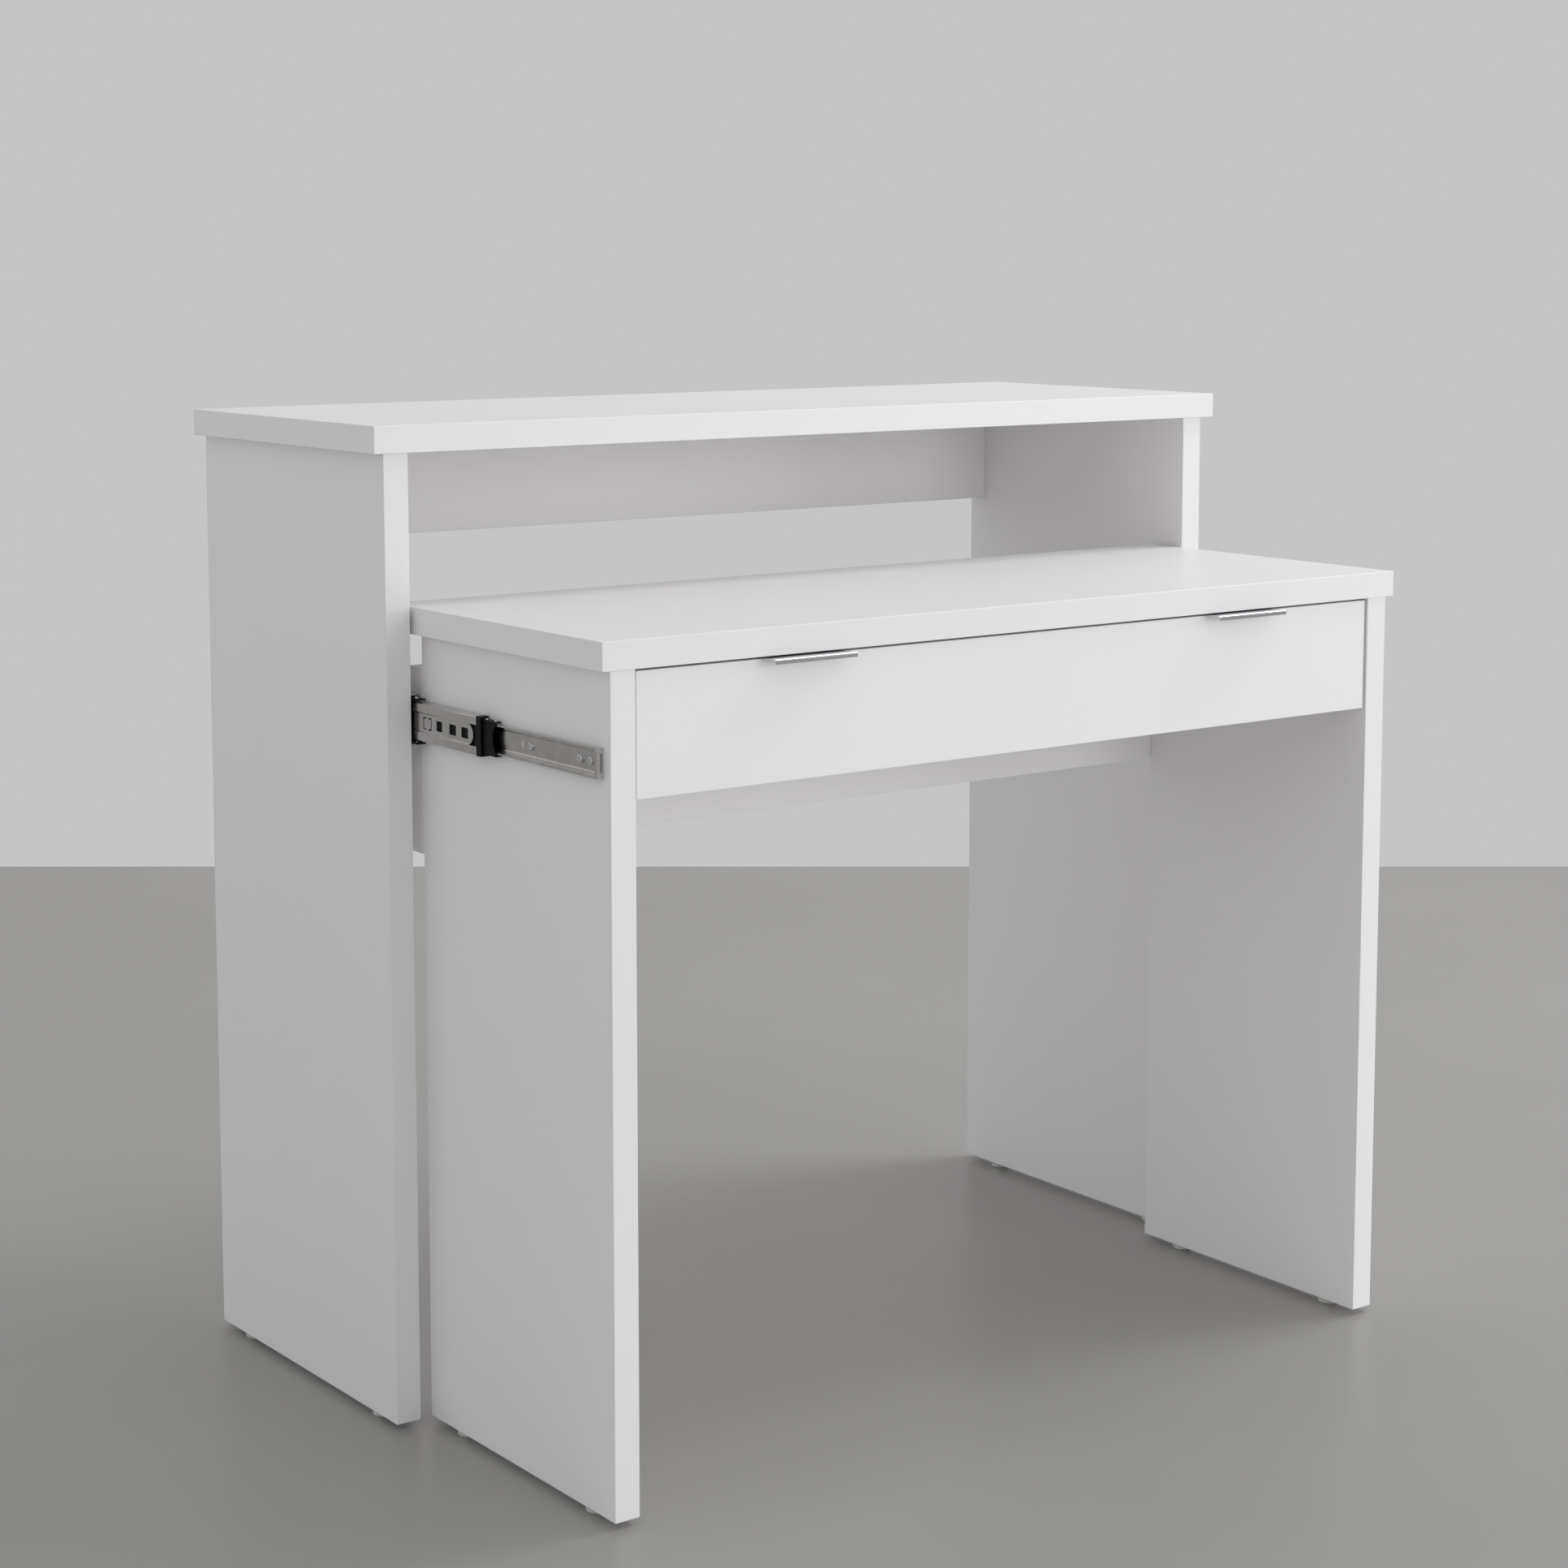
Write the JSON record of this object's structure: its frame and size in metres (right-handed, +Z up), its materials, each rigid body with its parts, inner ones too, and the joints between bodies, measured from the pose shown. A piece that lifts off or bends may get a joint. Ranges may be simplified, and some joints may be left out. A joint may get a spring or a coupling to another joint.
{
  "type": "console with pull-out desk",
  "caption": "Console table of white-faced board with a writing desk, with a drawer, that pulls out forwards on telescopic ball-bearing slides.",
  "frame": {"origin": "on the floor, under the middle of the whole at rest, with the desk pulled out", "axes": "+Z up, +X along the width, +Y towards the wall behind, so the desk pulls out along -Y"},
  "size_m": [0.986, 0.649, 0.89],
  "materials": {
    "white_board": "white melamine-faced board, fine satin grain, banded edges",
    "thin_panel": "thin white-faced hardboard",
    "beech_dowel": "plain beech",
    "glide_plastic": "pale plastic",
    "zinc_hardware": "bright zinc plate",
    "zinc_steel": "zinc-plated rolled steel",
    "black_plastic": "black moulded plastic",
    "steel_balls": "polished steel",
    "satin_aluminium": "satin anodised"
  },
  "bodies": {
    "console": {"console_back_rail": "white_board", "console_cam_bolts": "zinc_hardware", "console_cams": "zinc_hardware", "console_dowels": "beech_dowel", "console_glides": "glide_plastic", "console_side_left": "white_board", "console_side_right": "white_board", "console_top": "white_board", "slide_outer_left": "zinc_steel", "slide_outer_right": "zinc_steel", "slide_screws_console": "zinc_hardware"},
    "desk": {"desk_back_rail": "white_board", "desk_cam_bolts": "zinc_hardware", "desk_cams": "zinc_hardware", "desk_dowels": "beech_dowel", "desk_glides": "glide_plastic", "desk_side_left": "white_board", "desk_side_right": "white_board", "desk_top": "white_board", "drawer_runner_fixed_left": "zinc_steel", "drawer_runner_fixed_right": "zinc_steel", "runner_screws_desk": "zinc_hardware", "slide_inner_left": "zinc_steel", "slide_inner_right": "zinc_steel", "slide_screws_desk": "zinc_hardware"},
    "slide_middles": {"slide_end_stop_left": "black_plastic", "slide_end_stop_right": "black_plastic", "slide_middle_left": "zinc_steel", "slide_middle_right": "zinc_steel"},
    "slide_outer_cages": {"slide_outer_balls": "steel_balls", "slide_outer_cage_left": "black_plastic", "slide_outer_cage_right": "black_plastic"},
    "slide_inner_cages": {"slide_inner_balls": "steel_balls", "slide_inner_cage_left": "black_plastic", "slide_inner_cage_right": "black_plastic"},
    "drawer": {"drawer_back": "white_board", "drawer_bottom": "thin_panel", "drawer_box_screws": "zinc_hardware", "drawer_dowels": "beech_dowel", "drawer_front": "white_board", "drawer_pull_left": "satin_aluminium", "drawer_pull_right": "satin_aluminium", "drawer_pull_screws": "zinc_hardware", "drawer_runner_moving_left": "zinc_steel", "drawer_runner_moving_right": "zinc_steel", "drawer_side_left": "white_board", "drawer_side_right": "white_board", "runner_screws_drawer": "zinc_hardware"},
    "drawer_runner_cages": {"drawer_runner_balls": "steel_balls", "drawer_runner_cage_left": "black_plastic", "drawer_runner_cage_right": "black_plastic"}
  },
  "joints": [
    {"name": "desk_slide", "type": "slide", "parent": "console", "child": "desk", "axis": [0, -1, 0], "range_m": [-0.292, 0]},
    {"name": "slide_middles_travel", "type": "slide", "parent": "console", "child": "slide_middles", "axis": [0, -1, 0], "range_m": [-0.1095, 0]},
    {"name": "slide_outer_cages_travel", "type": "slide", "parent": "console", "child": "slide_outer_cages", "axis": [0, -1, 0], "range_m": [-0.05475, 0]},
    {"name": "slide_inner_cages_travel", "type": "slide", "parent": "console", "child": "slide_inner_cages", "axis": [0, -1, 0], "range_m": [-0.20075, 0]},
    {"name": "drawer_slide", "type": "slide", "parent": "desk", "child": "drawer", "axis": [0, -1, 0], "range_m": [0, 0.19]},
    {"name": "drawer_runner_cages_travel", "type": "slide", "parent": "desk", "child": "drawer_runner_cages", "axis": [0, -1, 0], "range_m": [0, 0.095]}
  ],
  "couplings": [
    {"joint": "slide_middles_travel", "follows": "desk_slide", "ratio": 0.375},
    {"joint": "slide_outer_cages_travel", "follows": "desk_slide", "ratio": 0.1875},
    {"joint": "slide_inner_cages_travel", "follows": "desk_slide", "ratio": 0.6875},
    {"joint": "drawer_runner_cages_travel", "follows": "drawer_slide", "ratio": 0.5}
  ]
}
